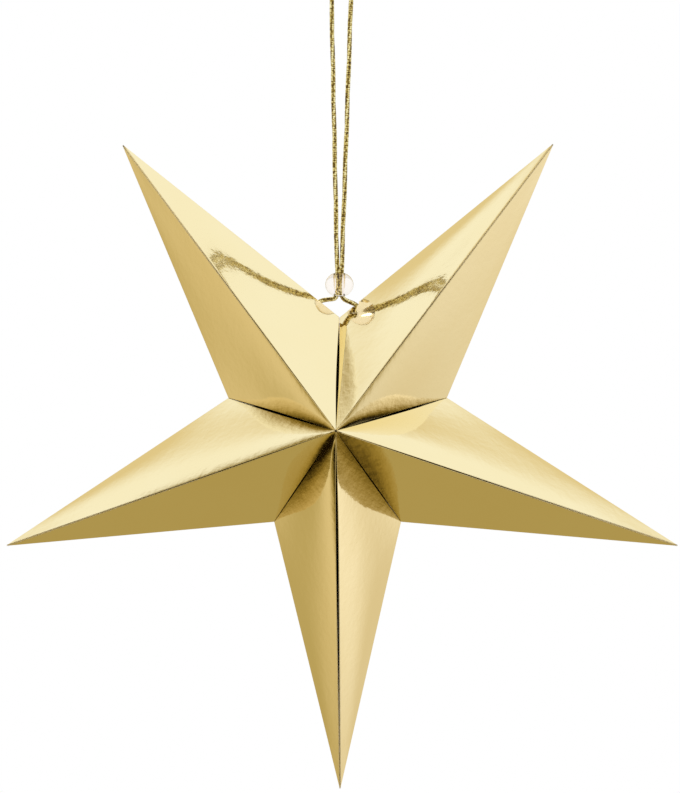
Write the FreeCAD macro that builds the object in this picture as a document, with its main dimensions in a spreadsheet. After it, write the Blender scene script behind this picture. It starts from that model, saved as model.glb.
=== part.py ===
import FreeCAD, Part

import math
import os

from FreeCAD import Placement, Rotation, Vector

# A hanging five-point star of thin mirror card. Ten kite-shaped panels are glued edge to edge round a
# front-to-back axis and fold flat like a fan. The open ends of the ring meet at the top notch, where a
# cord with a sliding bead is knotted through two punched holes and draws the star open.
#
# The origin is inside the top of the hanging loop, where a hook carries it. +Z is up, the star faces -Y.

doc = FreeCAD.newDocument("folding_star")

# Driving sizes in millimetres
SIZES = [
    ("star_span", 300.0, "from the left tip to the right tip"),
    ("notch_radius", 50.3, "from the star's axis to a notch between two arms"),
    ("half_depth", 58.0, "from the tips' plane to the front or back centre"),
    ("card_thickness", 0.35, "laminated card"),
    ("ridge_flap", 6.0, "glue flap inside a ridge"),
    ("valley_flap", 8.0, "glue flap inside a valley"),
    ("seam_from_axis", 4.0, "from the star's axis to where the open seam of a ridge starts"),
    ("seam_from_tip", 12.0, "from where the open seam ends to the tip"),
    ("centre_drop", 228.0, "from the top of the loop down to the star's axis"),
    ("centre_shift", -0.9, "from the top of the loop across to the star's axis"),
    ("cord_diameter", 2.0, "lurex cord"),
    ("cord_hole", 3.2, "punched hole in a crease"),
    ("left_hole_from_notch", 11.7, "along the crease"),
    ("right_hole_from_notch", 9.5, "along the crease"),
    ("bead_width", 12.6, "across the bore"),
    ("bead_height", 10.4, "along the bore"),
    ("bead_bore", 4.5, "takes both strands"),
    ("bead_above_centre", 66.4, "from the star's axis up to the bead's middle"),
    ("knot_width", 5.0, "overhand knot in the cord's end"),
    ("knot_tail", 7.0, "cord left past the knot"),
]

sizes = doc.addObject("Spreadsheet::Sheet", "sizes")
for row, (alias, value, note) in enumerate(SIZES, start=1):
    sizes.set("A%d" % row, alias)
    sizes.set("B%d" % row, str(value))
    sizes.set("C%d" % row, note)
    sizes.setAlias("B%d" % row, alias)
doc.recompute()

# Angles of a regular five-point star, in degrees
ARM_STEP = 360 // 5
HALF_ARM = ARM_STEP // 2

# Lengths and angles worked out from the sheet, as expressions, for an arm that points up.
# An arm's crease runs from its tip to a notch. Seen from the front, crease_reach is how far that line
# passes from the star's axis and crease_lean is its angle to the middle of the arm.
TIP = "(sizes.star_span / (2 * sin(%d)))" % ARM_STEP
NOTCH_OUT = "(sizes.notch_radius * sin(%d))" % HALF_ARM
NOTCH_UP = "(sizes.notch_radius * cos(%d))" % HALF_ARM
CREASE_LEAN = "atan(%s / (%s - %s))" % (NOTCH_OUT, TIP, NOTCH_UP)
CREASE_REACH = "(%s * sin(%s))" % (TIP, CREASE_LEAN)
WALL_ANGLE = "atan(sizes.half_depth / %s)" % CREASE_REACH
TIP_ANGLE = "atan(sizes.half_depth / %s)" % TIP
NOTCH_ANGLE = "atan(sizes.half_depth / sizes.notch_radius)"
RIDGE_ANGLE = "acos(cos(%s) * sin(%s))" % (CREASE_LEAN, WALL_ANGLE)
# Blanks run past the star by this share before they are trimmed
SPARE = 1.2
LONG = "(%s * %s)" % (SPARE, TIP)
DEEP = "(%s * sizes.half_depth)" % SPARE
# A ridge's two folds are blunt, and the open seam between them goes this share of the way to the hollow
GROOVE_SHARE = 0.72
GROOVE_DEPTH = "(%s * sizes.card_thickness / tan(%s / 2))" % (GROOVE_SHARE, RIDGE_ANGLE)
GROOVE_HALF_WIDTH = "(1.1 * sizes.card_thickness)"

# A wedge is drawn with its base and its edge across X and its height along Y
EDGE_DOWN = "rotation(vector(1; 0; 0); -90)"
EDGE_UP_ACROSS = "rotation(vector(1; 1; 1); 120)"
EDGE_OUT_ACROSS = "rotation(vector(1; 1; 0); 180)"


def turned(degrees, base):
    """A placement on the star's axis, turned round it on top of a base rotation."""
    turn = "rotation(vector(0; 1; 0); %s)" % degrees
    return "placement(vector(0; 0; 0); %s * %s)" % (turn, base)


def wedge(name, base, edge, low, high, near, far, placement):
    """A wedge from its base, between low[0] and high[0], to its edge, between low[1] and high[1]."""
    piece = doc.addObject("Part::Wedge", name)
    bound = {
        "Ymin": base, "Ymax": edge,
        "Xmin": low[0], "Xmax": high[0],
        "X2min": low[1], "X2max": high[1],
        "Zmin": near, "Zmax": far,
        "Z2min": near, "Z2max": far,
    }
    for side, expression in bound.items():
        piece.setExpression(side, str(expression))
    piece.setExpression("Placement", placement)
    return piece


def sector(name, inset):
    """Half an arm's share of the circle, from its middle to a valley, with both sides moved in by inset."""
    corner = "(%s / tan(%s / 2))" % (inset, HALF_ARM)
    far_side = "(%s + (%s - %s) * tan(%s))" % (inset, LONG, corner, HALF_ARM)
    return wedge(name, "-" + LONG, "-" + corner, (inset, inset), (far_side, inset),
                 "-" + DEEP, DEEP, turned(0, EDGE_DOWN))


def roof(name, inset):
    """The two outer walls' planes, which meet in the crease, moved in by inset."""
    edge = "(%s - %s / sin(%s))" % (CREASE_REACH, inset, WALL_ANGLE)
    half = "((%s + %s) * tan(%s))" % (CREASE_REACH, edge, WALL_ANGLE)
    return wedge(name, "-" + CREASE_REACH, edge, ("-" + half, 0), (half, 0),
                 "-" + LONG, LONG, turned("-" + CREASE_LEAN, EDGE_OUT_ACROSS))


def flap_window(name, point, angle, flap, near, far, turn):
    """The opening that leaves a flap of even width inside a wall whose outer point is at an angle."""
    edge = "(%s - %s / sin(%s))" % (point, flap, angle)
    half = "(%s * tan(%s))" % (edge, angle)
    return wedge(name, 0, edge, ("-" + half, 0), (half, 0), near, far, turned(turn, EDGE_UP_ACROSS))


def common(name, shapes):
    piece = doc.addObject("Part::MultiCommon", name)
    piece.Shapes = shapes
    return piece


def fuse(name, shapes):
    piece = doc.addObject("Part::MultiFuse", name)
    piece.Shapes = shapes
    return piece


def cut(name, base, tool):
    piece = doc.addObject("Part::Cut", name)
    piece.Base = base
    piece.Tool = tool
    return piece


# Panel blank: the right-hand half of an arm that points up, creased from tip to notch,
# with glue flaps folded in behind both ridges and along both valleys
outside = common("panel_outside", [sector("outer_sector", 0), roof("outer_roof", 0)])
hollow = common(
    "panel_hollow",
    [sector("inner_sector", "sizes.card_thickness"), roof("inner_roof", "sizes.card_thickness")],
)
ridge_window = flap_window(
    "ridge_window", TIP, TIP_ANGLE, "sizes.ridge_flap",
    "-sizes.card_thickness", "2 * sizes.card_thickness", 0,
)
valley_window = flap_window(
    "valley_window", "sizes.notch_radius", NOTCH_ANGLE, "sizes.valley_flap",
    "-2 * sizes.card_thickness", "sizes.card_thickness", HALF_ARM,
)
# The open seam that shows along a ridge is what lies outside this wedge, close to the arm's middle
groove_floor = flap_window("groove_floor", TIP, TIP_ANGLE, GROOVE_DEPTH, "-" + LONG, LONG, 0)
groove_slab = doc.addObject("Part::Box", "groove_slab")
groove_slab.setExpression("Length", "2 * " + GROOVE_HALF_WIDTH)
groove_slab.setExpression("Width", "2 * " + DEEP)
groove_slab.setExpression("Height", TIP + " - sizes.seam_from_axis - sizes.seam_from_tip")
groove_slab.setExpression("Placement.Base.x", "-" + GROOVE_HALF_WIDTH)
groove_slab.setExpression("Placement.Base.y", "-" + DEEP)
groove_slab.setExpression("Placement.Base.z", "sizes.seam_from_axis")
ridge_groove = cut("ridge_groove", groove_slab, groove_floor)
removed = fuse("panel_removed", [hollow, ridge_window, valley_window, ridge_groove])
right_blank = cut("right_hand_blank", outside, removed)

left_blank = doc.addObject("Part::Mirroring", "left_hand_blank")
left_blank.Source = right_blank
left_blank.Normal = Vector(1, 0, 0)


def punched(name, blank, side, from_notch):
    """A blank with the cord's hole punched through its crease, side is 1 for right-hand and -1 for left."""
    punch = doc.addObject("Part::Cylinder", name + "_punch")
    punch.setExpression("Radius", "sizes.cord_hole / 2")
    punch.setExpression("Height", "4 * sizes.cord_hole")
    along = "(%s + %s * cos(%s))" % (NOTCH_UP, from_notch, CREASE_LEAN)
    out = "(%s - %s * sin(%s))" % (NOTCH_OUT, from_notch, CREASE_LEAN)
    # The punch goes in at right angles to the crease and starts well outside it
    start = "2 * sizes.cord_hole"
    centre = "vector(%s * (%s - %s * cos(%s)); 0; %s - %s * sin(%s))" % (
        side, out, start, CREASE_LEAN, along, start, CREASE_LEAN)
    turn = "rotation(vector(0; 1; 0); %s * (90 deg - %s))" % (side, CREASE_LEAN)
    punch.setExpression("Placement", "placement(%s; %s)" % (centre, turn))
    return cut(name, blank, punch)


# The ten panels, clockwise from the top notch: name, blank and how many arm steps it is turned
left_punched = punched("left_hand_punched", left_blank, -1, "sizes.right_hole_from_notch")
right_punched = punched("right_hand_punched", right_blank, 1, "sizes.left_hole_from_notch")
PANELS = [
    ("top_right_arm_inner_panel", left_punched, 0.5),
    ("top_right_arm_outer_panel", right_blank, 0.5),
    ("right_arm_upper_panel", left_blank, 1.5),
    ("right_arm_lower_panel", right_blank, 1.5),
    ("bottom_arm_right_panel", left_blank, 2.5),
    ("bottom_arm_left_panel", right_blank, 2.5),
    ("left_arm_lower_panel", left_blank, 3.5),
    ("left_arm_upper_panel", right_blank, 3.5),
    ("top_left_arm_outer_panel", left_blank, 4.5),
    ("top_left_arm_inner_panel", right_punched, 4.5),
]
STAR_AXIS = "vector(sizes.centre_shift; 0; -sizes.centre_drop)"

parts = []
for label, blank, steps in PANELS:
    panel = doc.addObject("Part::Compound", label)
    panel.Label = label
    panel.Links = [blank]
    panel.setExpression(
        "Placement",
        "placement(%s; rotation(vector(0; 1; 0); %s))" % (STAR_AXIS, steps * ARM_STEP),
    )
    parts.append(panel)

# The cord's route in millimetres, x and z in the tips' plane: from the knot in the top left arm through
# its hole, up through the bead, over the hook and down the same way to the top right arm
CORD_ROUTE = [
    (-12.1, -171.25),
    (-9.3, -170.0),
    (-5.9, -169.6),
    (-2.2, -168.4),
    (-1.98, -164.4),
    (-2.02, -156.2),
    (-5.2, 1.0),
    (5.4, 1.0),
    (0.2, -156.2),
    (0.16, -164.4),
    (0.4, -168.6),
    (3.0, -170.4),
    (6.0, -171.42),
    (8.8, -172.55),
]
# An arc of the route takes up this share of the shorter run beside it
ARC_SHARE = 0.45


def cord_wire(route):
    """Straight runs joined by arcs that touch them, each as large as its two runs allow."""
    points = [Vector(x, 0, z) for x, z in route]
    edges = []
    start = points[0]
    radii = []
    for before, corner, after in zip(points, points[1:], points[2:]):
        back = (before - corner).normalize()
        ahead = (after - corner).normalize()
        reach = ARC_SHARE * min((before - corner).Length, (after - corner).Length)
        half_turn = (math.pi - back.getAngle(ahead)) / 2
        radius = reach / math.tan(half_turn)
        radii.append(radius)
        inwards = (back + ahead).normalize()
        first = corner + back * reach
        middle = corner + inwards * (radius / math.cos(half_turn) - radius)
        last = corner + ahead * reach
        edges.append(Part.LineSegment(start, first).toShape())
        edges.append(Part.Arc(first, middle, last).toShape())
        start = last
    edges.append(Part.LineSegment(start, points[-1]).toShape())
    print("cord radii:", [round(radius, 1) for radius in radii])
    return Part.Wire(edges)


cord_path = doc.addObject("Part::Feature", "cord_path")
cord_path.Shape = cord_wire(CORD_ROUTE)
cord_end = Vector(CORD_ROUTE[0][0], 0, CORD_ROUTE[0][1])
cord_next = Vector(CORD_ROUTE[1][0], 0, CORD_ROUTE[1][1])
cord_section = doc.addObject("Part::Circle", "cord_section")
cord_section.setExpression("Radius", "sizes.cord_diameter / 2")
cord_section.Placement = Placement(cord_end, Rotation(Vector(0, 0, 1), cord_next - cord_end))
cord = doc.addObject("Part::Sweep", "hanging_cord")
cord.Label = "hanging_cord"
cord.Sections = [cord_section]
cord.Spine = (cord_path, [])
cord.Solid = True
cord.Frenet = False

# Sliding bead: a ball with flattened ends and a bore for both strands
bead_ball = doc.addObject("Part::Sphere", "bead_ball")
bead_ball.setExpression("Radius", "sizes.bead_width / 2")
bead_length = doc.addObject("Part::Cylinder", "bead_length")
bead_length.setExpression("Radius", "sizes.bead_width")
bead_length.setExpression("Height", "sizes.bead_height")
bead_length.setExpression("Placement.Base.z", "-sizes.bead_height / 2")
bead_bore = doc.addObject("Part::Cylinder", "bead_bore_tool")
bead_bore.setExpression("Radius", "sizes.bead_bore / 2")
bead_bore.setExpression("Height", "2 * sizes.bead_height")
bead_bore.setExpression("Placement.Base.z", "-sizes.bead_height")
bead = cut("sliding_bead", common("flattened_ball", [bead_ball, bead_length]), bead_bore)
bead.Label = "sliding_bead"
bead.setExpression("Placement.Base.x", "sizes.centre_shift")
bead.setExpression("Placement.Base.z", "sizes.bead_above_centre - sizes.centre_drop")


def knot(label, end, before):
    """The knot on one end of the cord: a barrel that starts at the cord's end face, with its tail behind."""
    towards = Vector(end[0] - before[0], 0, end[1] - before[1])
    turns = []
    for step, (start, height, first, last) in enumerate([
        ("0", "0.3 * sizes.knot_width", "0.3 * sizes.knot_width", "0.5 * sizes.knot_width"),
        ("0.7 * sizes.knot_width", "0.3 * sizes.knot_width", "0.5 * sizes.knot_width", "0.3 * sizes.knot_width"),
    ]):
        cone = doc.addObject("Part::Cone", "%s_cone_%d" % (label, step))
        cone.setExpression("Radius1", first)
        cone.setExpression("Radius2", last)
        cone.setExpression("Height", height)
        cone.setExpression("Placement.Base.z", start)
        turns.append(cone)
    for name, start, height, radius in [
        ("_middle", "0.3 * sizes.knot_width", "0.4 * sizes.knot_width", "0.5 * sizes.knot_width"),
        ("_tail", "sizes.knot_width", "sizes.knot_tail", "0.5 * sizes.cord_diameter"),
    ]:
        round_piece = doc.addObject("Part::Cylinder", label + name)
        round_piece.setExpression("Radius", radius)
        round_piece.setExpression("Height", height)
        round_piece.setExpression("Placement.Base.z", start)
        turns.append(round_piece)
    piece = fuse(label, turns)
    piece.Label = label
    piece.Placement = Placement(Vector(end[0], 0, end[1]), Rotation(Vector(0, 0, 1), towards))
    return piece


parts += [
    cord,
    bead,
    knot("left_knot", CORD_ROUTE[0], CORD_ROUTE[1]),
    knot("right_knot", CORD_ROUTE[-1], CORD_ROUTE[-2]),
]

doc.recompute()

for thing in doc.Objects:
    if "Invalid" in thing.State or "Error" in thing.State:
        raise RuntimeError("%s failed: %s" % (thing.Name, thing.State))
for part in parts:
    if part.Shape.isNull() or not part.Shape.isValid() or len(part.Shape.Solids) != 1:
        raise RuntimeError("%s isn't one valid solid" % part.Label)
    print(part.Label, round(part.Shape.Volume, 2), "mm3")

swept = math.pi * (sizes.get("cord_diameter") / 2) ** 2 * cord_path.Shape.Length
print("cord length", round(cord_path.Shape.Length, 1), "mm, volume over section times length",
      round(cord.Shape.Volume / swept, 4))

os.makedirs("parts", exist_ok=True)
for part in parts:
    part.Shape.Solids[0].exportStep("parts/%s.step" % part.Label)
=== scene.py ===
import math

import bmesh
import bpy
from mathutils import Matrix, Vector, noise


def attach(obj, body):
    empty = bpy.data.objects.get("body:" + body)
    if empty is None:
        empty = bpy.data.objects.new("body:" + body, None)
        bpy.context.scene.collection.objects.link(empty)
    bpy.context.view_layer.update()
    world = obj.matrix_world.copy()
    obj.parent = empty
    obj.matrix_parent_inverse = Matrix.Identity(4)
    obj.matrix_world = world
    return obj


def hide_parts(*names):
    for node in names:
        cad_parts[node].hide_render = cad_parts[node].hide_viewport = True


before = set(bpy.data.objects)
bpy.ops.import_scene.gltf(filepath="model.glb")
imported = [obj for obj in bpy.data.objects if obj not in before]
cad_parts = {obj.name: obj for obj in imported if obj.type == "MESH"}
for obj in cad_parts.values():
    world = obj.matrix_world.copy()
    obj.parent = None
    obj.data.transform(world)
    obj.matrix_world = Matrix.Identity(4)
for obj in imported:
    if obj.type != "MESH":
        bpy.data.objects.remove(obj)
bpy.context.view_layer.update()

mm = 0.001
starAxis = Vector((-0.9, 0.0, -228.0))  # mm, where the front-to-back axis crosses the tips' plane


def linear(hexColour):  # sRGB hex to the linear colour that a socket takes
    channels = [int(hexColour[i:i + 2], 16) / 255 for i in (1, 3, 5)]
    return [c / 12.92 if c <= 0.04045 else ((c + 0.055) / 1.055) ** 2.4 for c in channels] + [1.0]


def addNode(tree, kind, inputs=None, stops=None, **settings):
    node = tree.nodes.new(kind)
    for key, value in settings.items():
        setattr(node, key, value)
    for key, value in (inputs or {}).items():
        if isinstance(value, bpy.types.NodeSocket):
            tree.links.new(value, node.inputs[key])
        else:
            node.inputs[key].default_value = value
    if stops:
        ramp = node.color_ramp.elements
        while len(ramp) < len(stops):
            ramp.new(0.5)
        for element, (place, colour) in zip(ramp, stops):
            element.position = place
            element.color = colour
    return node


def newMaterial(name):
    material = bpy.data.materials.new(name)
    material.use_nodes = True
    material.node_tree.nodes.clear()
    return material, material.node_tree


def finishMaterial(material, surface):
    addNode(material.node_tree, "ShaderNodeOutputMaterial", {"Surface": surface})
    return material


def meshObject(name, bm, materials):
    mesh = bpy.data.meshes.new(name)
    bm.to_mesh(mesh)
    bm.free()
    for material in materials:
        mesh.materials.append(material)
    piece = bpy.data.objects.new(name, mesh)
    bpy.context.scene.collection.objects.link(piece)
    return piece


def plainMesh(piece):  # the evaluated object as a plain mesh, without its modifiers
    bpy.context.view_layer.update()
    evaluated = piece.evaluated_get(bpy.context.evaluated_depsgraph_get())
    mesh = bpy.data.meshes.new_from_object(evaluated)
    mesh.name = piece.name
    piece.modifiers.clear()
    piece.data = mesh
    return piece


# Camera: far away with a long lens, a little below and to the right of the star's axis
cameraView = {
    "target": Vector((-0.72, 0.0, -211.5)) * mm,
    "distance": 2.0,  # metres
    "toRight": 1.6,  # degrees
    "below": 1.6,
    "lens": 203.7,
    "clipEnd": 50.0,
}
right = math.radians(cameraView["toRight"])
below = math.radians(cameraView["below"])
towards = Vector((math.sin(right) * math.cos(below), -math.cos(right) * math.cos(below), -math.sin(below)))
cameraData = bpy.data.cameras.new("camera")
cameraData.lens = cameraView["lens"]
cameraData.clip_end = cameraView["clipEnd"]
camera = bpy.data.objects.new("camera", cameraData)
bpy.context.scene.collection.objects.link(camera)
camera.location = cameraView["target"] + towards * cameraView["distance"]
camera.rotation_euler = (-towards).to_track_quat("-Z", "Y").to_euler()
bpy.context.scene.camera = camera
bpy.context.scene.view_settings.view_transform = "Standard"
print("camera set")

# Cord: one lurex cord from the knot in the top left arm, over the hook and back to the top right arm
cordSizes = {
    "diameter": 2.0,
    "plies": 3,
    "plyRadius": 0.56,
    "plyOffset": 0.48,
    "turnLength": 90.0,  # one full turn of the plies round each other
    "wrapPitch": 0.95,  # from one ring of the winding to the next
    "wrapDepth": 0.14,
    "stepLength": 0.19,
    "roundSteps": 9,
    "routeSteps": 24,  # points of the line for each point of the route
}
# The route's points from the part's source in mm, moved a little beside the bead and the holes, and
# with two more below the hook
cordRoute = [
    (-12.4, -1.2, -171.9),
    (-10.7, -1.0, -169.9),
    (-8.7, -0.8, -168.7),
    (-5.4, -0.4, -168.3),
    (-2.6, -0.2, -167.9),
    (-1.8, -0.8, -165.0),
    (-1.0, -1.1, -161.5),
    (-1.85, -0.75, -158.0),
    (-2.04, 0.0, -154.5),
    (-4.97, 0.0, -11.0),
    (-5.2, 0.0, 1.0),
    (5.4, 0.0, 1.0),
    (5.0, 0.0, -11.0),
    (0.04, 0.0, -154.5),
    (-0.15, 0.75, -158.0),
    (-1.0, 1.1, -161.5),
    (-0.2, 0.8, -165.0),
    (0.6, 0.2, -167.8),
    (3.3, 0.0, -169.1),
    (6.2, -0.2, -170.3),
    (8.8, 0.0, -172.55),
]


def routeCurve(name, points, steps):
    curve = bpy.data.curves.new(name, "CURVE")
    curve.dimensions = "3D"
    spline = curve.splines.new("NURBS")
    spline.points.add(len(points) - 1)
    for place, point in zip(spline.points, points):
        place.co = (point[0] * mm, point[1] * mm, point[2] * mm, 1.0)
    spline.order_u = 3
    spline.use_endpoint_u = True
    spline.resolution_u = steps
    return curve


def curvePoints(curve):  # the points that the spline itself runs through
    holder = bpy.data.objects.new("route_reader", curve)
    bpy.context.scene.collection.objects.link(holder)
    bpy.context.view_layer.update()
    evaluated = holder.evaluated_get(bpy.context.evaluated_depsgraph_get())
    mesh = bpy.data.meshes.new_from_object(evaluated)
    points = [vertex.co.copy() for vertex in mesh.vertices]
    bpy.data.objects.remove(holder)
    bpy.data.meshes.remove(mesh)
    return points


# Wound lurex: a metallised polyester tape wound round each of three plies. Its colour carries painted light:
# small bright rings with painted highlights, dark, warm painted shade in the gaps between them and in the
# grooves between plies, and painted glints in the speckle. Its tones follow a level, to which backs, rings
# and speckle add
lurexSizes = {
    # The tones run from painted shade at the low end to a painted glint at the high end
    "shadeAndGlintTones": [(0.08, "#3E2A00"), (0.32, "#755A12"), (0.6, "#CDB75E"), (0.95, "#FFFAC8")],
    # How much the plies' backs lift the level: painted shade in the grooves between plies
    "grooveShadeWeight": 0.46,
    "shoulder": 0.8,  # share of the cord's radius from which a ply's back begins
    # How much the rings lift the level: painted highlight on the rings and painted shade in their gaps
    "ringGapShadeWeight": 0.42,
    # The speckle lowers the level in random spots and lifts it into painted glints in others
    "speckle": 0.9,  # mm, coarser than the tape's glitter so that it shows
    "speckleFrom": 0.35,
    "speckleTo": 0.65,
    "speckleLeast": -0.25,
    "speckleMost": 0.5,
    "metallic": 0.35,
    "smoothest": 0.2,
    "roughest": 0.5,
}


def lurexYarn():
    material, tree = newMaterial("wound_lurex_yarn")
    place = addNode(tree, "ShaderNodeTexCoord").outputs["Object"]
    ringHeight = addNode(tree, "ShaderNodeAttribute", attribute_name="ring_height").outputs["Fac"]
    plyHeight = addNode(tree, "ShaderNodeAttribute", attribute_name="ply_height").outputs["Fac"]
    speckle = addNode(tree, "ShaderNodeTexNoise", {
        "Vector": place, "Scale": 1 / (lurexSizes["speckle"] * mm), "Detail": 2.0}).outputs["Fac"]
    # Random tone and painted glints from the speckle
    speckleAndGlint = addNode(tree, "ShaderNodeMapRange", {
        "Value": speckle, "From Min": lurexSizes["speckleFrom"], "From Max": lurexSizes["speckleTo"],
        "To Min": lurexSizes["speckleLeast"], "To Max": lurexSizes["speckleMost"]})
    # Painted highlight on the rings and painted shade in the gaps between them
    wound = addNode(tree, "ShaderNodeMath", {
        0: ringHeight, 1: lurexSizes["ringGapShadeWeight"], 2: speckleAndGlint.outputs["Result"]}, operation="MULTIPLY_ADD")
    # Painted shade in the grooves between plies; the ramp turns the level into painted shade and glints
    shadeAndGlintLevel = addNode(tree, "ShaderNodeMath", {
        0: plyHeight, 1: lurexSizes["grooveShadeWeight"], 2: wound.outputs[0]}, operation="MULTIPLY_ADD")
    shadeAndGlintTones = [(stop, linear(tone)) for stop, tone in lurexSizes["shadeAndGlintTones"]]
    colour = addNode(tree, "ShaderNodeValToRGB", {"Fac": shadeAndGlintLevel.outputs[0]}, stops=shadeAndGlintTones).outputs["Color"]
    roughness = addNode(tree, "ShaderNodeMapRange", {
        "Value": speckle, "To Min": lurexSizes["smoothest"], "To Max": lurexSizes["roughest"]})
    yarn = addNode(tree, "ShaderNodeBsdfPrincipled", {
        "Base Color": colour, "Metallic": lurexSizes["metallic"], "Roughness": roughness.outputs["Result"]})
    return finishMaterial(material, yarn.outputs["BSDF"])


def windingTree(material):
    tree = bpy.data.node_groups.new("wound_cord", "GeometryNodeTree")
    sockets = tree.interface
    sockets.new_socket("Geometry", in_out="INPUT", socket_type="NodeSocketGeometry")
    for name in ("Ply radius", "Ply offset", "Turn length", "Wrap pitch", "Wrap depth", "Step length"):
        sockets.new_socket(name, in_out="INPUT", socket_type="NodeSocketFloat")
    for name in ("Plies", "Round steps"):
        sockets.new_socket(name, in_out="INPUT", socket_type="NodeSocketInt")
    sockets.new_socket("Geometry", in_out="OUTPUT", socket_type="NodeSocketGeometry")
    given = addNode(tree, "NodeGroupInput").outputs
    line = addNode(tree, "GeometryNodeMeshToCurve", {"Mesh": given["Geometry"]}).outputs["Curve"]
    line = addNode(tree, "GeometryNodeResampleCurve", {"Curve": line, "Length": given["Step length"]},
                   mode="LENGTH").outputs["Curve"]
    along = addNode(tree, "GeometryNodeSplineParameter").outputs["Length"]
    kept = addNode(tree, "GeometryNodeCaptureAttribute", {"Geometry": line}, domain="POINT")
    kept.capture_items.new("FLOAT", "along")
    kept.capture_items.new("VECTOR", "middle")
    tree.links.new(along, kept.inputs[1])
    tree.links.new(addNode(tree, "GeometryNodeInputPosition").outputs["Position"], kept.inputs[2])
    share = addNode(tree, "ShaderNodeMath", {0: kept.outputs[1], 1: given["Turn length"]},
                    operation="DIVIDE")
    tilt = addNode(tree, "ShaderNodeMath", {0: share.outputs[0], 1: 2 * math.pi}, operation="MULTIPLY")
    line = addNode(tree, "GeometryNodeSetCurveTilt", {
        "Curve": kept.outputs["Geometry"], "Tilt": tilt.outputs[0]})
    ring = addNode(tree, "GeometryNodeCurvePrimitiveCircle", {
        "Resolution": given["Round steps"], "Radius": given["Ply radius"]}, mode="RADIUS").outputs["Curve"]
    turned = addNode(tree, "GeometryNodeSplineParameter").outputs["Factor"]
    keptTurn = addNode(tree, "GeometryNodeCaptureAttribute", {"Geometry": ring}, domain="POINT")
    keptTurn.capture_items.new("FLOAT", "turned")
    tree.links.new(turned, keptTurn.inputs[1])
    spots = addNode(tree, "GeometryNodeCurvePrimitiveCircle", {
        "Resolution": given["Plies"], "Radius": given["Ply offset"]}, mode="RADIUS").outputs["Curve"]
    placed = addNode(tree, "GeometryNodeInstanceOnPoints", {
        "Points": spots, "Instance": keptTurn.outputs["Geometry"]})
    plies = addNode(tree, "GeometryNodeRealizeInstances", {"Geometry": placed.outputs["Instances"]})
    tube = addNode(tree, "GeometryNodeCurveToMesh", {
        "Curve": line.outputs["Curve"], "Profile Curve": plies.outputs["Geometry"], "Fill Caps": True})
    # Each ring of the winding stands a little proud of the gap beside it: a sine along the slant, 0 to 1
    rings = addNode(tree, "ShaderNodeMath", {0: kept.outputs[1], 1: given["Wrap pitch"]}, operation="DIVIDE")
    slant = addNode(tree, "ShaderNodeMath", {0: rings.outputs[0], 1: keptTurn.outputs[1]}, operation="ADD")
    phase = addNode(tree, "ShaderNodeMath", {0: slant.outputs[0], 1: 2 * math.pi}, operation="MULTIPLY")
    crest = addNode(tree, "ShaderNodeMath", {0: phase.outputs[0]}, operation="SINE")
    height = addNode(tree, "ShaderNodeMath", {0: crest.outputs[0], 1: 0.5, 2: 0.5}, operation="MULTIPLY_ADD")
    proud = addNode(tree, "ShaderNodeMath", {0: height.outputs[0], 1: given["Wrap depth"]},
                    operation="MULTIPLY")
    facing = addNode(tree, "GeometryNodeInputNormal").outputs["Normal"]
    offset = addNode(tree, "ShaderNodeVectorMath", {0: facing, "Scale": proud.outputs[0]}, operation="SCALE")
    # The groove between two plies lies nearer to the cord's middle than their backs do
    spot = addNode(tree, "GeometryNodeInputPosition").outputs["Position"]
    reach = addNode(tree, "ShaderNodeVectorMath", {0: spot, 1: kept.outputs[2]}, operation="DISTANCE")
    whole = addNode(tree, "ShaderNodeMath", {0: given["Ply radius"], 1: given["Ply offset"]},
                    operation="ADD")
    shoulder = addNode(tree, "ShaderNodeMath", {0: whole.outputs[0], 1: lurexSizes["shoulder"]},
                       operation="MULTIPLY")
    plyHeight = addNode(tree, "ShaderNodeMapRange", {
        "Value": reach.outputs["Value"], "From Min": shoulder.outputs[0], "From Max": whole.outputs[0]})
    # ply_height is 0 in the grooves between plies: the yarn paints shade there from it
    stored = addNode(tree, "GeometryNodeStoreNamedAttribute", {
        "Geometry": tube.outputs["Mesh"], "Name": "ply_height", "Value": plyHeight.outputs["Result"]},
        data_type="FLOAT", domain="POINT")
    wound = addNode(tree, "GeometryNodeSetPosition", {
        "Geometry": stored.outputs["Geometry"], "Offset": offset.outputs["Vector"]})
    # ring_height is 0 in the gaps between rings: the yarn paints shade there and highlight on the rings
    ringed = addNode(tree, "GeometryNodeStoreNamedAttribute", {
        "Geometry": wound.outputs["Geometry"], "Name": "ring_height", "Value": height.outputs[0]},
        data_type="FLOAT", domain="POINT")
    real = addNode(tree, "GeometryNodeRealizeInstances", {"Geometry": ringed.outputs["Geometry"]})
    painted = addNode(tree, "GeometryNodeSetMaterial", {
        "Geometry": real.outputs["Geometry"], "Material": material})
    addNode(tree, "NodeGroupOutput", {"Geometry": painted.outputs["Geometry"]})
    return tree


def lineObject(name, points):
    bm = bmesh.new()
    vertices = [bm.verts.new(point) for point in points]
    for first, second in zip(vertices, vertices[1:]):
        bm.edges.new((first, second))
    return meshObject(name, bm, [])


def setInputs(modifier, values):  # by the identifiers of the tree's named inputs
    for item in modifier.node_group.interface.items_tree:
        if item.item_type == "SOCKET" and item.in_out == "INPUT" and item.name in values:
            modifier[item.identifier] = values[item.name]


cordYarn = lurexYarn()
cordTree = windingTree(cordYarn)


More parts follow.
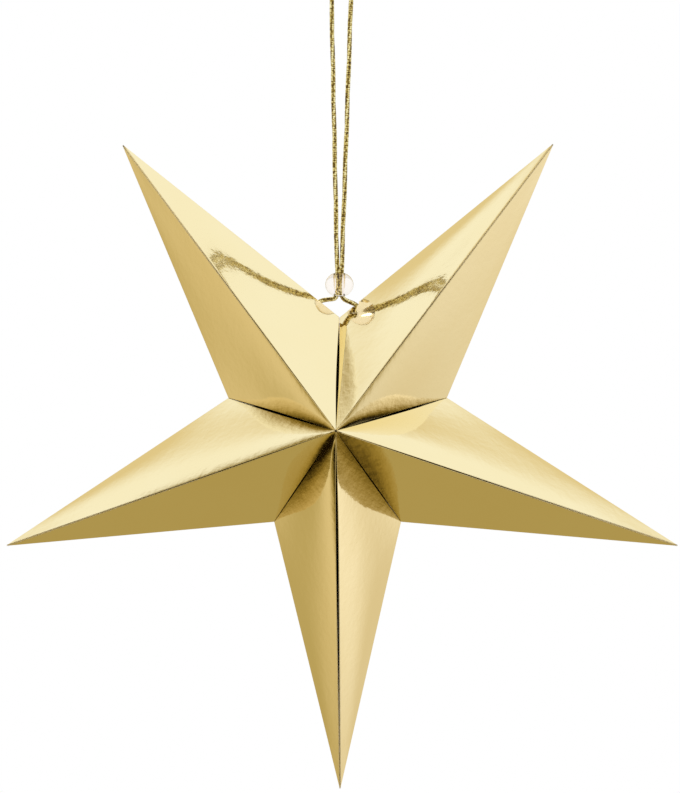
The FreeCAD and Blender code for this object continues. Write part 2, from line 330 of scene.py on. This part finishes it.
def woundCord(name, points, sizes):
    piece = lineObject(name, points)
    winding = piece.modifiers.new("winding", "NODES")
    winding.node_group = cordTree
    setInputs(winding, {
        "Plies": sizes["plies"],
        "Ply radius": sizes["plyRadius"] * mm,
        "Ply offset": sizes["plyOffset"] * mm,
        "Turn length": sizes["turnLength"] * mm,
        "Wrap pitch": sizes["wrapPitch"] * mm,
        "Wrap depth": sizes["wrapDepth"] * mm,
        "Step length": sizes["stepLength"] * mm,
        "Round steps": sizes["roundSteps"],
    })
    plainMesh(piece)
    piece.data.shade_smooth()
    return piece


cordLine = curvePoints(routeCurve("cord_route", cordRoute, cordSizes["routeSteps"]))
cord = woundCord("wound_cord", cordLine, cordSizes)

# Star: ten folded panels. Corner places are mm from the star's axis, as the object hangs: the arms aren't
# quite even
cornerPlaces = {
    "left_tip": (-149.2, -50.1),
    "right_tip": (150.9, -50.1),
    "top_left_tip": (-97.4, 129.5),
    "top_right_tip": (95.6, 129.5),
    "bottom_tip": (0.2, -158.6),
    "left_notch": (-49.7, 15.9),
    "right_notch": (47.9, 15.9),
    "lower_left_notch": (-29.2, -39.4),
    "lower_right_notch": (27.4, -39.4),
    "top_notch": (0.0, 51.8),
}
panelSizes = {
    "halfDepth": 58.0,
    "gridSteps": 46,  # faces along an edge of the front or the back
    "foldSteps": 6,  # faces across a fold
    "card": 0.35,
    "ridgeFlap": 6.0,
    "valleyFlap": 8.0,
    "flapClear": 0.02,  # how far a flap's free edge leans off the flap beside it
    "flapMitre": 0.1,
    "tipRadius": 0.08,
    "centreRadius": 0.15,
    "notchRadius": 0.35,
    "backBulge": 0.2,  # how far the back bulges in the middle, and beside its outer edge
    "backRim": 0.1,
    "rimScale": 240.0,  # brings the bulge beside the outer edge to about its full size
    "rollWidth": 0.16,  # share of the way to the ridge over which the foil rolls into a glued valley
    "rollFall": 2.5,  # how fast the roll dies away from the centre
    "ripple": 0.05,
    "rippleLength": 38.0,
    "rippleFade": 40.0,  # keeps the ripple off a face's edges
    "noiseStep": 7.3,  # moves the ripple on from panel to panel, and from a front to its back
    "backNoise": 50.0,
    "merge": 1e-4,  # points nearer than this become one
    "shadingWeight": 90,
}
# The top notch is the open end of the ring, so its two corners don't meet: mm in front of the tips' plane
notchForward = {"top_left_arm_inner_panel": 6.0, "top_right_arm_inner_panel": 0.5}
# Each panel's tip and notch, then in mm how far its front bulges in the middle and beside its outer edge,
# and how far both faces rise where they roll into the glued valley near the centre
panelPlan = {
    "top_right_arm_inner_panel": ("top_right_tip", "top_notch", 0.22, 0.45, 0.0),
    "top_right_arm_outer_panel": ("top_right_tip", "right_notch", 0.15, 0.1, 3.4),
    "right_arm_upper_panel": ("right_tip", "right_notch", 0.25, 0.12, 8.0),
    "right_arm_lower_panel": ("right_tip", "lower_right_notch", 0.14, 0.1, 1.4),
    "bottom_arm_right_panel": ("bottom_tip", "lower_right_notch", 0.22, 0.32, 1.2),
    "bottom_arm_left_panel": ("bottom_tip", "lower_left_notch", 0.2, 0.22, 8.0),
    "left_arm_lower_panel": ("left_tip", "lower_left_notch", 0.14, 0.1, 2.6),
    "left_arm_upper_panel": ("left_tip", "left_notch", 0.30, 0.25, 4.2),
    "top_left_arm_outer_panel": ("top_left_tip", "left_notch", 0.15, 0.1, 4.0),
    "top_left_arm_inner_panel": ("top_left_tip", "top_notch", 0.08, 0.3, 0.0),
}
seamRounding = 1.2  # how softly a seam opens from its two ends
# How far each seam gapes at most in mm, and where it is widest, as a share of the way out from the centre
seamGaps = {
    "left_tip": (0.32, 0.25),
    "right_tip": (0.42, 0.3),
    "top_left_tip": (0.26, 0.3),
    "top_right_tip": (0.26, 0.3),
    "bottom_tip": (1.0, 0.3),
    "left_notch": (0.9, 0.5),
    "right_notch": (0.9, 0.6),
    "lower_left_notch": (0.5, 0.5),
    "lower_right_notch": (0.5, 0.5),
    "top_notch": (1.1, 0.45),
}


def seamGap(corner, outwards):  # half the gap at a share of the way from the centre to the corner
    widest, peak = seamGaps[corner]
    share = outwards / peak if outwards < peak else (1 - outwards) / (1 - peak)
    return widest / 2 * math.sin(max(0.0, min(1.0, share)) * math.pi / 2) ** seamRounding


def blend(first, second, share):
    return first + (second - first) * share


def panelSheet(tipName, notchName, bulges, forward, seed):
    depth = panelSizes["halfDepth"]
    tip, notch = (Vector((cornerPlaces[n][0], 0.0, cornerPlaces[n][1])) for n in (tipName, notchName))
    notch.y = -forward
    front, back = Vector((0, -depth, 0)), Vector((0, depth, 0))
    middle = (tip + notch + front + back) / 4

    def outward(a, b, c):
        normal = (b - a).cross(c - a).normalized()
        return normal if normal.dot(a - middle) > 0 else -normal

    frontFace, backFace = outward(tip, front, notch), outward(tip, back, notch)
    ridgeWall, valleyWall = outward(tip, front, back), outward(front, notch, back)
    corners = {
        "tip": (tip, panelSizes["tipRadius"], (frontFace, backFace, ridgeWall)),
        "notch": (notch, panelSizes["notchRadius"], (frontFace, backFace, valleyWall)),
        "front": (front, panelSizes["centreRadius"], (frontFace, ridgeWall, valleyWall)),
        "back": (back, panelSizes["centreRadius"], (backFace, ridgeWall, valleyWall)),
    }
    # The middle of the small round that touches all three planes at a corner
    roundMiddle = {
        name: point + (Matrix(planes).inverted() @ Vector((-1, -1, -1))) * radius
        for name, (point, radius, planes) in corners.items()
    }

    def touch(corner, plane):
        return roundMiddle[corner] + plane * corners[corner][1]

    steps, foldSteps = panelSizes["gridSteps"], panelSizes["foldSteps"]
    bm = bmesh.new()

    def opening(ridgeShare, ridgeWeight, valleyShare, valleyWeight):
        return (-ridgeWall * seamGap(tipName, ridgeShare) * ridgeWeight
                - valleyWall * seamGap(notchName, valleyShare) * valleyWeight)

    def face(plane, centre, bulge, rimBulge, rollHeight, phase):
        a, b, c = (touch(name, plane) for name in ("tip", centre, "notch"))
        fade = panelSizes["rippleFade"]
        rows = []
        for i in range(steps + 1):
            row = []
            for j in range(steps + 1 - i):
                s, t = i / steps, j / steps  # share of the tip and of the notch, the rest is the centre's
                u = max(0.0, 1 - s - t)
                point = a * s + b * u + c * t
                swell = 27 * s * t * u  # 1 in the face's middle
                across = s / (s + t) if s + t > 0 else 0.0  # 0 on the valley, 1 on the ridge
                roll = (s + t) * u ** panelSizes["rollFall"]
                roll *= 1 - across
                roll *= 1 - math.exp(-across / panelSizes["rollWidth"])
                wave = noise.noise(point / panelSizes["rippleLength"] + Vector((phase, 0, 0)))
                edge = min(1.0, fade * s * t, fade * s * u, fade * t * u) if swell > 0 else 0.0
                rim = panelSizes["rimScale"] * (s * t) ** 2 * u
                point = point + plane * (bulge * swell + rimBulge * rim + rollHeight * roll)
                point = point + plane * panelSizes["ripple"] * wave * edge
                ridgeShare = 0.0 if s + u == 0 else s / (s + u)
                valleyShare = 0.0 if t + u == 0 else t / (t + u)
                row.append(bm.verts.new(point + opening(ridgeShare, 1 - t, valleyShare, 1 - s)))
            rows.append(row)
        for i in range(steps):
            for j in range(steps - i):
                bm.faces.new((rows[i][j], rows[i + 1][j], rows[i][j + 1]))
                if j < steps - i - 1:
                    bm.faces.new((rows[i + 1][j], rows[i + 1][j + 1], rows[i][j + 1]))

    def strip(lines):
        rows = [[bm.verts.new(point) for point in line] for line in lines]
        for first, second in zip(rows, rows[1:]):
            for j in range(len(first) - 1):
                bm.faces.new((first[j], first[j + 1], second[j + 1], second[j]))

    def foldLines(start, end, planeA, planeB, shift):
        lines = []
        turn = planeA.rotation_difference(planeB)
        axis, angle = turn.to_axis_angle()
        for k in range(foldSteps + 1):
            direction = Matrix.Rotation(angle * k / foldSteps, 3, axis) @ planeA
            first = roundMiddle[start] + direction * corners[start][1]
            last = roundMiddle[end] + direction * corners[end][1]
            lines.append([blend(first, last, j / steps) + shift(j / steps) for j in range(steps + 1)])
        return lines

    def flap(start, end, plane, innerStart, innerEnd, shift):
        first, last = touch(start, plane), touch(end, plane)
        lines = []
        for inwards in (0.0, 0.5, 1.0):  # from the fold to the flap's free edge
            lines.append([
                blend(blend(first, last, j / steps), blend(innerStart, innerEnd, j / steps), inwards)
                + shift(j / steps) * (1 - inwards) for j in range(steps + 1)])
        strip(lines)

    def outerCorner(corner, width, angle, wall):  # a flap's free corner at the tip or the notch
        return corner * (1 - width / math.sin(angle) / corner.length) - wall * panelSizes["flapClear"]

    def centreCorner(way, width, angle, wall, otherWall):  # a flap's free corner at the front or back centre
        free = way * depth - way * (width / math.cos(angle)) - wall * panelSizes["flapClear"]
        return free - otherWall * panelSizes["flapMitre"]

    def ridgeShift(share):  # from the tip to the centre
        return opening(1 - share, 1.0, 0.0, 0.0)

    def valleyShift(share):  # from the centre to the notch
        return opening(0.0, 0.0, share, 1.0)

    def still(share):
        return Vector((0, 0, 0))

    frontBulge, frontRim, rollHeight = bulges
    backBulge, backRim = panelSizes["backBulge"], panelSizes["backRim"]
    phase = seed * panelSizes["noiseStep"]
    face(frontFace, "front", frontBulge, frontRim, rollHeight, phase)
    face(backFace, "back", backBulge, backRim, rollHeight, phase + panelSizes["backNoise"])
    strip(foldLines("tip", "notch", frontFace, backFace, still))
    tipAngle = math.atan2(depth, tip.length)
    notchAngle = math.atan2(depth, notch.length)
    ridgeFlap, valleyFlap = panelSizes["ridgeFlap"], panelSizes["valleyFlap"]
    tipInner = outerCorner(tip, ridgeFlap, tipAngle, ridgeWall)
    notchInner = outerCorner(notch, valleyFlap, notchAngle, valleyWall)
    for corner, plane in (("front", frontFace), ("back", backFace)):
        way = corners[corner][0].normalized()
        ridgeInner = centreCorner(way, ridgeFlap, tipAngle, ridgeWall, valleyWall)
        valleyInner = centreCorner(way, valleyFlap, notchAngle, valleyWall, ridgeWall)
        strip(foldLines("tip", corner, plane, ridgeWall, ridgeShift))
        flap("tip", corner, ridgeWall, tipInner, ridgeInner, ridgeShift)
        strip(foldLines(corner, "notch", plane, valleyWall, valleyShift))
        flap(corner, "notch", valleyWall, valleyInner, notchInner, valleyShift)
    bmesh.ops.remove_doubles(bm, verts=bm.verts, dist=panelSizes["merge"])
    bmesh.ops.recalc_face_normals(bm, faces=bm.faces)
    bm.normal_update()
    flattest = max(bm.faces, key=lambda f: abs(f.normal.dot(frontFace)))
    if flattest.normal.dot(frontFace) < 0:
        bmesh.ops.reverse_faces(bm, faces=bm.faces)
    bmesh.ops.translate(bm, verts=bm.verts, vec=starAxis)
    bmesh.ops.scale(bm, verts=bm.verts, vec=(mm, mm, mm))
    return bm


# Hot-stamped metallised card: vacuum-coated gold film on card, so it mirrors softly, with the card's slight
# orange peel and a few faint press streaks showing in the reflections
foilSizes = {
    "gold": "#F7E9BD",
    "deeper": "#F4E3B0",
    "roughness": 0.06,
    "peelLength": 2.4,
    "peelHeight": 0.018,
    "waveLength": 9.0,
    "waveHeight": 0.03,
    "cloudLength": 45.0,
}


def goldFoil():
    material, tree = newMaterial("hot_stamped_gold_foil")
    place = addNode(tree, "ShaderNodeTexCoord").outputs["Object"]
    clouds = addNode(tree, "ShaderNodeTexNoise", {
        "Vector": place, "Scale": 1 / (foilSizes["cloudLength"] * mm), "Detail": 3.0}).outputs["Fac"]
    colour = addNode(tree, "ShaderNodeMix", {
        "Factor": clouds, "A": linear(foilSizes["gold"]), "B": linear(foilSizes["deeper"])},
        data_type="RGBA")
    waves = addNode(tree, "ShaderNodeTexNoise", {
        "Vector": place, "Scale": 1 / (foilSizes["waveLength"] * mm), "Detail": 1.0}).outputs["Fac"]
    peel = addNode(tree, "ShaderNodeTexNoise", {
        "Vector": place, "Scale": 1 / (foilSizes["peelLength"] * mm), "Detail": 2.0}).outputs["Fac"]
    waveBump = addNode(tree, "ShaderNodeBump", {
        "Height": waves, "Distance": foilSizes["waveHeight"] * mm, "Strength": 1.0})
    peelBump = addNode(tree, "ShaderNodeBump", {
        "Height": peel, "Distance": foilSizes["peelHeight"] * mm, "Strength": 1.0,
        "Normal": waveBump.outputs["Normal"]})
    foil = addNode(tree, "ShaderNodeBsdfPrincipled", {
        "Base Color": colour.outputs["Result"], "Metallic": 1.0, "Roughness": foilSizes["roughness"],
        "Normal": peelBump.outputs["Normal"]})
    return finishMaterial(material, foil.outputs["BSDF"])


# Uncoated side of the card: bleached pulp board, matt and faintly fibrous. Its cut edges are painted
# warmer: painted light standing in for the foil's light falling on them
boardSizes = {
    "white": "#EFEBE0",
    "fibre": "#DDD6C6",
    # The cut edges' warm colours are painted light from the foil
    "foilLitCutEdge": "#D8C79A",
    "foilLitCutFibre": "#B9A36C",
    "fibreLength": 0.8,
    "fibreHeight": 0.01,
    "roughness": 0.9,
}


def pulpBoard(name, light, dark):
    material, tree = newMaterial(name)
    place = addNode(tree, "ShaderNodeTexCoord").outputs["Object"]
    fibres = addNode(tree, "ShaderNodeTexNoise", {
        "Vector": place, "Scale": 1 / (boardSizes["fibreLength"] * mm), "Detail": 4.0}).outputs["Fac"]
    colour = addNode(tree, "ShaderNodeMix", {
        "Factor": fibres, "A": linear(light), "B": linear(dark)}, data_type="RGBA")
    bump = addNode(tree, "ShaderNodeBump", {"Height": fibres, "Distance": boardSizes["fibreHeight"] * mm})
    board = addNode(tree, "ShaderNodeBsdfPrincipled", {
        "Base Color": colour.outputs["Result"], "Roughness": boardSizes["roughness"],
        "Normal": bump.outputs["Normal"]})
    return finishMaterial(material, board.outputs["BSDF"])


foil = goldFoil()
board = pulpBoard("bleached_pulp_board", boardSizes["white"], boardSizes["fibre"])
# The cut edges' material carries painted warm light from the foil
foilLitCutEdge = pulpBoard("cut_board_edge_painted_foil_light", boardSizes["foilLitCutEdge"], boardSizes["foilLitCutFibre"])
cardMaterials = [foil, board, foilLitCutEdge]

# The punched holes that the cord comes out of, beside the top notch: place in mm and the way that it is cut
holeSizes = {"diameter": 3.2, "depth": 6.0, "segments": 24}
holePlaces = {
    "top_left_arm_inner_panel": ((-11.9, -1.1, -171.0), (-0.69, 0.0, -0.72)),
    "top_right_arm_inner_panel": ((6.4, -0.3, -170.4), (0.8, 0.0, -0.6)),
}


def punchHole(piece, place, way):
    radius = holeSizes["diameter"] / 2 * mm
    turn = Vector(way).to_track_quat("Z", "Y").to_matrix().to_4x4()
    bm = bmesh.new()
    bmesh.ops.create_cone(
        bm, cap_ends=True, segments=holeSizes["segments"], radius1=radius, radius2=radius,
        depth=holeSizes["depth"] * mm, matrix=Matrix.Translation(Vector(place) * mm) @ turn)
    punch = meshObject("punch", bm, [foilLitCutEdge])
    hole = piece.modifiers.new("hole", "BOOLEAN")
    hole.object = punch
    hole.solver = "EXACT"
    hole.use_self = True
    hole.material_mode = "TRANSFER"
    return punch


starPanels = []
for index, (node, (tipName, notchName, *bulges)) in enumerate(panelPlan.items()):
    sheet = panelSheet(tipName, notchName, bulges, notchForward.get(node, 0.0), index)
    panel = meshObject(node.replace("panel", "card"), sheet, cardMaterials)
    wall = panel.modifiers.new("wall", "SOLIDIFY")
    wall.thickness = panelSizes["card"] * mm
    wall.offset = -1.0
    wall.use_rim = True
    wall.material_offset = cardMaterials.index(board)
    wall.material_offset_rim = cardMaterials.index(foilLitCutEdge)
    punch = punchHole(panel, *holePlaces[node]) if node in holePlaces else None
    plainMesh(panel)
    if punch:
        bpy.data.objects.remove(punch)
    panel.data.shade_smooth()
    smooth = panel.modifiers.new("even_shading", "WEIGHTED_NORMAL")
    smooth.mode = "FACE_AREA"
    smooth.weight = panelSizes["shadingWeight"]
    smooth.keep_sharp = True
    plainMesh(panel)
    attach(panel, "root")
    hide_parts(node)
    starPanels.append(panel)
print("star folded,", sum(len(panel.data.polygons) for panel in starPanels), "faces")

# Bead: a moulded clear ball with flat ends and a bore for both strands
beadSizes = {
    "width": 12.6,
    "height": 10.4,
    "bore": 4.4,
    "leftOfAxis": 0.1,
    "aboveAxis": 66.4,
    "rings": 40,
    "boreRings": 12,
    "segments": 64,
}


def lathe(name, profile, segments, place, materials):
    bm = bmesh.new()
    rings = []
    for k in range(segments):
        angle = 2 * math.pi * k / segments
        across, deep = math.cos(angle), math.sin(angle)
        points = [Vector((radius * across, radius * deep, height)) for radius, height in profile]
        rings.append([bm.verts.new(place + point * mm) for point in points])
    for first, second in zip(rings, rings[1:] + rings[:1]):
        for j in range(len(profile)):
            k = (j + 1) % len(profile)
            bm.faces.new((first[j], second[j], second[k], first[k]))
    bmesh.ops.recalc_face_normals(bm, faces=bm.faces)
    return meshObject(name, bm, materials)


# Moulded acrylic: clear with a faint warm cast, so it shows as bright rims and bent pieces of what is behind
acrylicSizes = {"tint": "#FFFAF5", "roughness": 0.1, "ior": 1.38, "flowLength": 1.8, "flowHeight": 0.02}


def clearAcrylic():
    material, tree = newMaterial("moulded_clear_acrylic")
    place = addNode(tree, "ShaderNodeTexCoord").outputs["Object"]
    flow = addNode(tree, "ShaderNodeTexNoise", {
        "Vector": place, "Scale": 1 / (acrylicSizes["flowLength"] * mm), "Detail": 1.0}).outputs["Fac"]
    bump = addNode(tree, "ShaderNodeBump", {"Height": flow, "Distance": acrylicSizes["flowHeight"] * mm})
    acrylic = addNode(tree, "ShaderNodeBsdfPrincipled", {
        "Base Color": linear(acrylicSizes["tint"]), "Roughness": acrylicSizes["roughness"],
        "IOR": acrylicSizes["ior"], "Transmission Weight": 1.0, "Normal": bump.outputs["Normal"]})
    return finishMaterial(material, acrylic.outputs["BSDF"])


def beadProfile():
    halfHeight, boreRadius = beadSizes["height"] / 2, beadSizes["bore"] / 2
    halfWidth = beadSizes["width"] / 2
    reach = math.sqrt(1 - (boreRadius / halfWidth) ** 2)
    polar = halfHeight / reach
    limit = math.acos(boreRadius / halfWidth)
    outer = []
    for k in range(beadSizes["rings"] + 1):
        angle = -limit + 2 * limit * k / beadSizes["rings"]
        outer.append((halfWidth * math.cos(angle), polar * math.sin(angle)))
    rings = beadSizes["boreRings"]
    inner = [(boreRadius, halfHeight * (1 - 2 * k / rings)) for k in range(1, rings)]
    return outer + inner


beadPlace = (starAxis + Vector((-beadSizes["leftOfAxis"], 0, beadSizes["aboveAxis"]))) * mm
bead = lathe("clear_bead", beadProfile(), beadSizes["segments"], beadPlace, [clearAcrylic()])
bead.data.shade_smooth()
print("bead turned")

# Knots: an overhand knot and its tail inside each top arm
knotSizes = {
    "width": 5.0,
    "tail": 7.0,
    "tailStraight": 4.0,
    "strandRadius": 0.55,
    "start": -30.0,  # degrees along the trefoil
    "sweep": 300.0,
    "steps": 90,
    "freeSteps": 4,  # left out at each end, where the cord runs in and the tail runs out
    "plies": 3,
    "plyRadius": 0.26,
    "plyOffset": 0.2,
    "turnLength": 9.0,
    "wrapPitch": 0.8,
    "wrapDepth": 0.04,
    "stepLength": 0.2,
    "roundSteps": 7,
    "routeSteps": 3,
}


def overhandLine(end, before):  # an open trefoil, which at a scale of 1 reaches 3 from its middle
    ahead = (Vector(end) - Vector(before)).normalized()
    side = Vector((0, 1, 0))
    up = ahead.cross(side)
    scale = (knotSizes["width"] / 2 - knotSizes["strandRadius"]) / 3
    centre = Vector(end) + ahead * knotSizes["width"] / 2
    loop = []
    for k in range(knotSizes["steps"] + 1):
        a = math.radians(knotSizes["start"]) + math.radians(knotSizes["sweep"]) * k / knotSizes["steps"]
        x = math.sin(a) + 2 * math.sin(2 * a)
        y = math.cos(a) - 2 * math.cos(2 * a)
        z = -math.sin(3 * a)
        loop.append(centre + (ahead * x + up * y) * scale + side * z * scale)
    tail = centre + ahead * (knotSizes["width"] / 2 + knotSizes["tail"])
    free = knotSizes["freeSteps"]
    return [Vector(end)] + loop[free:-free] + [tail - ahead * knotSizes["tailStraight"], tail]


def tiedKnot(name, node, end, before):
    curve = routeCurve(name + "_line", overhandLine(end, before), knotSizes["routeSteps"])
    piece = woundCord(name, curvePoints(curve), knotSizes)
    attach(piece, "root")
    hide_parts(node)
    return piece


leftKnot = tiedKnot("left_tied_knot", "left_knot", cordRoute[0], cordRoute[1])
rightKnot = tiedKnot("right_tied_knot", "right_knot", cordRoute[-1], cordRoute[-2])
for piece, node, slotName in ((cord, "hanging_cord", "lurex_cord"), (bead, "sliding_bead", "clear_bead")):
    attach(piece, "root")
    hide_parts(node)
print("knots tied")

# Studio: white surroundings for the eye and a soft room for the foil to mirror, brighter above than below.
# In line with the star's own plane the room is dark, and so are the folds that mirror each other
roomLight = {
    "above": "#EAEDF0",
    "aboveFar": "#D3C8A9",
    "right": "#FFFDFF",
    "rightLow": "#CBC4B4",
    "rightFar": "#CFC5AF",
    "left": "#D0C29E",
    "leftLow": "#CDBE99",
    "leftFar": "#AE9F6F",
    "below": "#A39462",
    "bounced": "#93803E",  # what comes back by way of the fold's other face
    "dark": "#140D04",
    "strength": 1.25,
    "plain": 0.85,  # the even white light on everything but the foil
}


def studioWorld():
    world = bpy.data.worlds.new("studio")
    bpy.context.scene.world = world
    world.use_nodes = True
    world.cycles.sampling_method = "NONE"
    tree = world.node_tree
    tree.nodes.clear()
    direction = addNode(tree, "ShaderNodeTexCoord").outputs["Generated"]
    split = addNode(tree, "ShaderNodeSeparateXYZ", {"Vector": direction})
    away = addNode(tree, "ShaderNodeMath", {0: split.outputs["Y"]}, operation="ABSOLUTE")
    places = {"x": split.outputs["X"], "z": split.outputs["Z"], "away": away.outputs[0]}
    # Each part of the room turns into the next between two places along one direction
    layers = [
        ("leftSide", "z", -0.42, -0.12, "leftLow", "left"),
        ("rightSide", "z", -0.42, -0.12, "rightLow", "right"),
        ("sidesNear", "x", -0.5, 0.5, "leftSide", "rightSide"),
        ("sidesFar", "x", -0.5, 0.5, "leftFar", "rightFar"),
        ("sides", "away", 0.33, 0.52, "sidesNear", "sidesFar"),
        ("low", "z", -0.85, -0.35, "below", "sides"),
        ("lowDeep", "away", 0.255, 0.335, "bounced", "low"),
        ("lowAndDark", "away", 0.215, 0.29, "dark", "lowDeep"),
        ("high", "away", 0.35, 0.48, "above", "aboveFar"),
        ("highDeep", "away", 0.25, 0.315, "bounced", "high"),
        ("highLeft", "away", 0.19, 0.28, "dark", "highDeep"),
        ("highRight", "away", 0.03, 0.15, "dark", "high"),
        ("highAndDark", "x", -0.3, 0.3, "highLeft", "highRight"),
        ("room", "z", -0.05, 0.45, "lowAndDark", "highAndDark"),
    ]
    colours = {name: linear(value) for name, value in roomLight.items() if isinstance(value, str)}
    for name, along, start, end, first, second in layers:
        share = addNode(tree, "ShaderNodeMapRange", {
            "Value": places[along], "From Min": start, "From Max": end}, interpolation_type="SMOOTHSTEP")
        colours[name] = addNode(tree, "ShaderNodeMix", {
            "Factor": share.outputs["Result"], "A": colours[first], "B": colours[second]},
            data_type="RGBA").outputs["Result"]
    path = addNode(tree, "ShaderNodeLightPath").outputs
    seen = addNode(tree, "ShaderNodeMath", {0: path["Is Camera Ray"], 1: path["Is Transmission Ray"]},
                   operation="MAXIMUM").outputs[0]
    plain = addNode(tree, "ShaderNodeBackground", {"Color": (1, 1, 1, 1), "Strength": roomLight["plain"]})
    mirrored = addNode(tree, "ShaderNodeBackground", {
        "Color": colours["room"], "Strength": roomLight["strength"]})
    white = addNode(tree, "ShaderNodeBackground", {"Color": (1, 1, 1, 1), "Strength": 1.0})
    notGlossy = addNode(tree, "ShaderNodeMixShader", {
        "Fac": path["Is Glossy Ray"], 1: plain.outputs[0], 2: mirrored.outputs[0]})
    final = addNode(tree, "ShaderNodeMixShader", {"Fac": seen, 1: notGlossy.outputs[0], 2: white.outputs[0]})
    addNode(tree, "ShaderNodeOutputWorld", {"Surface": final.outputs[0]})


studioWorld()

# Floor: board painted matt with a roller, which leaves a faint even grain. It lies well below the star, out
# of the photograph's view
floorSizes = {
    "width": 2.4,  # metres
    "drop": 0.62,
    "colour": "#F4F2EE",
    "roughness": 0.85,
    "rollerLength": 3.0,  # mm
    "rollerHeight": 0.05,
}


def paintedFloor():
    material, tree = newMaterial("matt_painted_board")
    place = addNode(tree, "ShaderNodeTexCoord").outputs["Object"]
    roller = addNode(tree, "ShaderNodeTexNoise", {
        "Vector": place, "Scale": 1 / (floorSizes["rollerLength"] * mm), "Detail": 2.0}).outputs["Fac"]
    bump = addNode(tree, "ShaderNodeBump", {"Height": roller, "Distance": floorSizes["rollerHeight"] * mm})
    paint = addNode(tree, "ShaderNodeBsdfPrincipled", {
        "Base Color": linear(floorSizes["colour"]), "Roughness": floorSizes["roughness"],
        "Normal": bump.outputs["Normal"]})
    return finishMaterial(material, paint.outputs["BSDF"])


bm = bmesh.new()
bmesh.ops.create_grid(bm, x_segments=1, y_segments=1, size=floorSizes["width"] / 2)
bmesh.ops.translate(bm, verts=bm.verts, vec=(0, 0, -floorSizes["drop"]))
floor = meshObject("floor", bm, [paintedFloor()])
floor.visible_glossy = False  # the foil mirrors the room's own light from below

# A soft lamp high on the left for the floor's shadow and the card's inside, in metres
lampSizes = {"width": 1.2, "watts": 12.0, "place": (-0.9, -1.2, 1.1)}
lampData = bpy.data.lights.new("soft_box", "AREA")
lampData.shape = "DISK"
lampData.size = lampSizes["width"]
lampData.energy = lampSizes["watts"]
lamp = bpy.data.objects.new("soft_box", lampData)
bpy.context.scene.collection.objects.link(lamp)
lamp.location = lampSizes["place"]
lamp.rotation_euler = (cameraView["target"] - lamp.location).to_track_quat("-Z", "Y").to_euler()
lamp.visible_glossy = False
print("studio lit")
